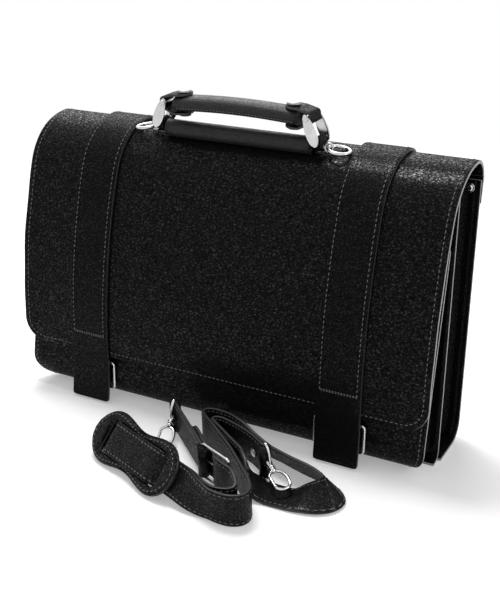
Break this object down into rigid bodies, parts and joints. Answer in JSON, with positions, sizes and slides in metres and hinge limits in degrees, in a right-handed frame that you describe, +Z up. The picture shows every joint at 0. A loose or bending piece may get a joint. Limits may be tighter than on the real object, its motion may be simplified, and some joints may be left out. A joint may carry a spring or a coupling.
{
  "type": "briefcase",
  "caption": "Black leather flap-over briefcase with two compartments, strapped flap, hinged carry handle and a loose shoulder strap with pad and snap hooks.",
  "frame": {"origin": "middle of the base, on the surface that the case stands on", "axes": "+X along the case to its right seen from the front, +Y to its back, +Z up"},
  "size_m": [0.4, 0.2284, 0.2816],
  "materials": {
    "black_leather": "satin, pebble grain",
    "polished_nickel": "polished",
    "rod_steel": "polished",
    "stiffener": "matte"
  },
  "bodies": {
    "case": {"back_panel": "black_leather", "base_board": "stiffener", "divider_panel": "black_leather", "front_panel": "black_leather", "rear_gusset_left": "black_leather", "rear_gusset_right": "black_leather", "front_gusset_left": "black_leather", "front_gusset_right": "black_leather", "gusset_stud_left": "polished_nickel", "gusset_stud_right": "polished_nickel", "flap_hem": "black_leather", "strap_anchor_left": "black_leather", "strap_anchor_right": "black_leather", "closure_chape_left": "black_leather", "closure_chape_right": "black_leather", "chape_rivets": "polished_nickel"},
    "flap": {"flap_panel": "black_leather", "strap_left": "black_leather", "strap_right": "black_leather", "handle_roll": "black_leather", "roll_rod": "rod_steel"},
    "handle": {"roll_loop_left": "black_leather", "roll_loop_right": "black_leather", "stirrup_left": "polished_nickel", "stirrup_right": "polished_nickel", "handle_pin_left": "polished_nickel", "handle_pin_right": "polished_nickel", "handle_tab_left": "black_leather", "handle_tab_right": "black_leather", "cap_rivet_left": "polished_nickel", "cap_rivet_right": "polished_nickel", "handle_grip": "black_leather", "handle_core": "stiffener"},
    "ring_left": {"strap_ring_left": "polished_nickel"},
    "ring_right": {"strap_ring_right": "polished_nickel"},
    "tuck_loop_left": {"closure_loop_left": "polished_nickel"},
    "tuck_loop_right": {"closure_loop_right": "polished_nickel"},
    "sling": {"shoulder_strap": "black_leather", "buckle_strap": "black_leather", "shoulder_pad": "black_leather", "strap_buckle": "polished_nickel", "strap_rivet": "polished_nickel", "hook_eye_one": "polished_nickel", "hook_eye_two": "polished_nickel"},
    "prong": {"strap_prong": "polished_nickel"},
    "hook_one": {"snap_hook_one": "polished_nickel"},
    "gate_one": {"hook_gate_one": "polished_nickel"},
    "hook_two": {"snap_hook_two": "polished_nickel"},
    "gate_two": {"hook_gate_two": "polished_nickel"}
  },
  "joints": [
    {"name": "flap_hinge", "type": "hinge", "parent": "case", "child": "flap", "pos_m": [0, 0.06647, 0.22565], "axis": [-1, 0, 0], "range_deg": [0, 175]},
    {"name": "handle_swing", "type": "hinge", "parent": "flap", "child": "handle", "pos_m": [0, 0.024, 0.24712], "axis": [1, 0, 0], "range_deg": [-15, 50]},
    {"name": "ring_left_swing", "type": "hinge", "parent": "flap", "child": "ring_left", "pos_m": [-0.0832, 0.024, 0.24712], "axis": [0, 1, 0], "range_deg": [0, 80]},
    {"name": "ring_right_swing", "type": "hinge", "parent": "flap", "child": "ring_right", "pos_m": [0.0832, 0.024, 0.24712], "axis": [0, -1, 0], "range_deg": [0, 80]},
    {"name": "tuck_loop_left_swing", "type": "hinge", "parent": "case", "child": "tuck_loop_left", "pos_m": [-0.124, -0.0382, 0.038], "axis": [-1, 0, 0], "range_deg": [0, 87.5]},
    {"name": "tuck_loop_right_swing", "type": "hinge", "parent": "case", "child": "tuck_loop_right", "pos_m": [0.124, -0.0382, 0.038], "axis": [-1, 0, 0], "range_deg": [0, 87.5]},
    {"name": "sling_lift", "type": "slide", "parent": "case", "child": "sling", "axis": [0, 0, 1], "range_m": [0, 0.3]},
    {"name": "prong_swing", "type": "hinge", "parent": "sling", "child": "prong", "pos_m": [0.0382, -0.1133, 0.0177], "axis": [0, 0, 1], "range_deg": [0, 8]},
    {"name": "hook_one_swivel", "type": "hinge", "parent": "sling", "child": "hook_one", "pos_m": [0.08996, -0.09623, 0.0177], "axis": [0.7885, -0.5318, -0.309], "continuous": true},
    {"name": "gate_one_swing", "type": "hinge", "parent": "hook_one", "child": "gate_one", "pos_m": [0.0966, -0.10783, 0.01381], "axis": [0.2562, -0.1728, 0.9511], "range_deg": [0, 25], "stiffness_Nm_per_rad": 0.005},
    {"name": "hook_two_swivel", "type": "hinge", "parent": "sling", "child": "hook_two", "pos_m": [-0.01906, -0.07245, 0.0177], "axis": [0.0856, -0.8147, -0.5736], "continuous": true},
    {"name": "gate_two_swing", "type": "hinge", "parent": "hook_two", "child": "gate_two", "pos_m": [-0.02385, -0.08333, 0.01047], "axis": [0.06, -0.5704, 0.8192], "range_deg": [0, 25], "stiffness_Nm_per_rad": 0.005}
  ],
  "couplings": [
    {"joint": "tuck_loop_left_swing", "follows": "flap_hinge", "ratio": 0.5},
    {"joint": "tuck_loop_right_swing", "follows": "flap_hinge", "ratio": 0.5}
  ]
}
